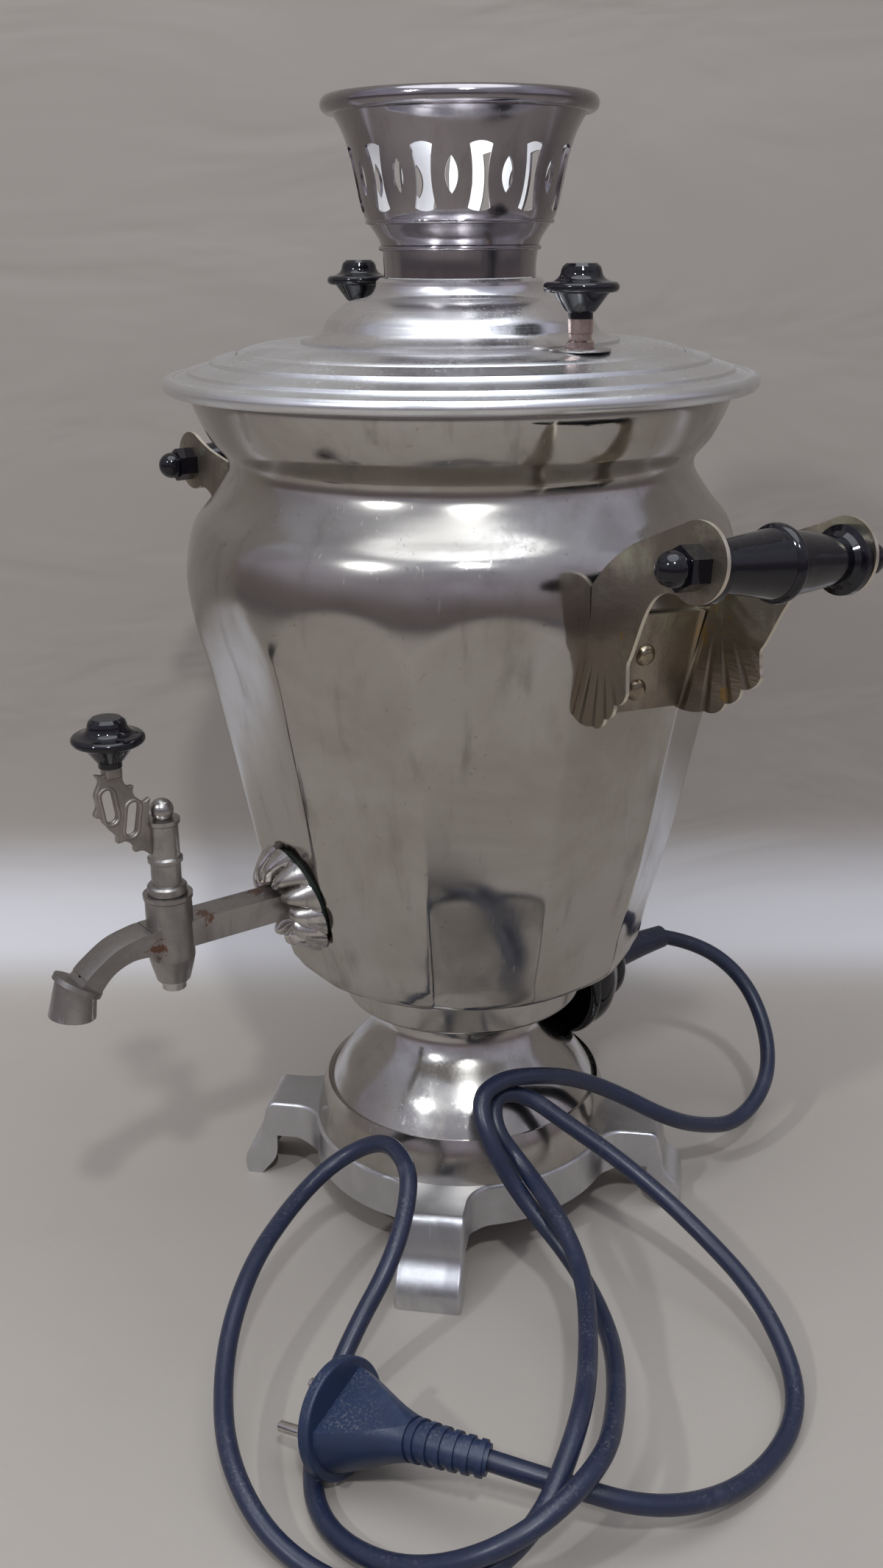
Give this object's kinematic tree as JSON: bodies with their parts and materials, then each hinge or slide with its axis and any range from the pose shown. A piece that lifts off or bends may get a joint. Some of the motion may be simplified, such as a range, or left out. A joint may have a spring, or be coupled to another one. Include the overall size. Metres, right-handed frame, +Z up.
{
  "type": "electric samovar",
  "caption": "Electric samovar with a faceted tank, plug tap with ornamental lever, two side handles, lifting lid and pierced crown on a four-legged base.",
  "frame": {"origin": "middle of the footprint of everything but the cord, on the surface that it stands on", "axes": "+Z up, the tap's spout towards -Y, the two handles at +X and -X, the cord inlet at +Y"},
  "size_m": [0.388, 0.34, 0.4518],
  "materials": {
    "nickel_body": "nickel plate, polished, tarnished and hazy",
    "satin_aluminium": "spun, satin",
    "tap_nickel": "nickel plate on brass, dull, worn to brass at the edges",
    "brass": "bare or thinly plated brass with patina",
    "copper": "copper-coloured plate, polished",
    "black_bakelite": "glossy black",
    "steel": "zinc plated",
    "heater_steel": "stainless tube",
    "seal_rubber": "dark rubber",
    "cord_rubber": "blue-black rubber, slightly shiny",
    "ceramic": "unglazed ceramic",
    "lead_silicone": "sleeved lead"
  },
  "bodies": {
    "root": {"base": "nickel_body", "body_shell": "nickel_body", "bottom_cover": "steel", "collar": "nickel_body", "cord": "cord_rubber", "cord_boot": "cord_rubber", "heater_nuts": "brass", "heater_seals": "seal_rubber", "heating_element": "heater_steel", "inlet_bush": "seal_rubber", "inlet_housing": "black_bakelite", "internal_leads": "lead_silicone", "left_acorn_nuts": "black_bakelite", "left_bracket_rivets": "steel", "left_handle_bracket": "brass", "left_handle_grip": "black_bakelite", "left_handle_rod": "steel", "pedestal": "nickel_body", "plug_body": "cord_rubber", "plug_pins": "steel", "plug_relief": "cord_rubber", "right_acorn_nuts": "black_bakelite", "right_bracket_rivets": "steel", "right_handle_bracket": "brass", "right_handle_grip": "black_bakelite", "right_handle_rod": "steel", "tank_floor": "brass", "tap_body": "tap_nickel", "tap_gasket": "seal_rubber", "tap_nut": "brass", "tap_rosette": "tap_nickel", "tap_washer": "seal_rubber", "terminal_block": "ceramic", "tie_nut": "steel", "tie_rod": "steel", "tie_washer": "steel", "top_ring": "satin_aluminium"},
    "lid": {"lid_dome": "nickel_body", "lid_plate": "satin_aluminium", "lid_nuts": "steel", "right_lid_knob": "black_bakelite", "left_lid_knob": "black_bakelite", "right_lid_stud": "copper", "left_lid_stud": "copper"},
    "crown": {"crown": "nickel_body"},
    "tap_key": {"tap_key": "tap_nickel", "tap_key_nut": "steel", "tap_lever": "tap_nickel", "tap_knob": "black_bakelite"}
  },
  "joints": [
    {"name": "lid_lift", "type": "slide", "parent": "root", "child": "lid", "axis": [0, 0, 1], "range_m": [0, 0.12]},
    {"name": "crown_lift", "type": "slide", "parent": "lid", "child": "crown", "axis": [0, 0, 1], "range_m": [0, 0.06]},
    {"name": "tap_turn", "type": "hinge", "parent": "root", "child": "tap_key", "pos_m": [0, -0.09901, 0.1596], "axis": [0, 0, 1], "range_deg": [-90, 90]}
  ]
}
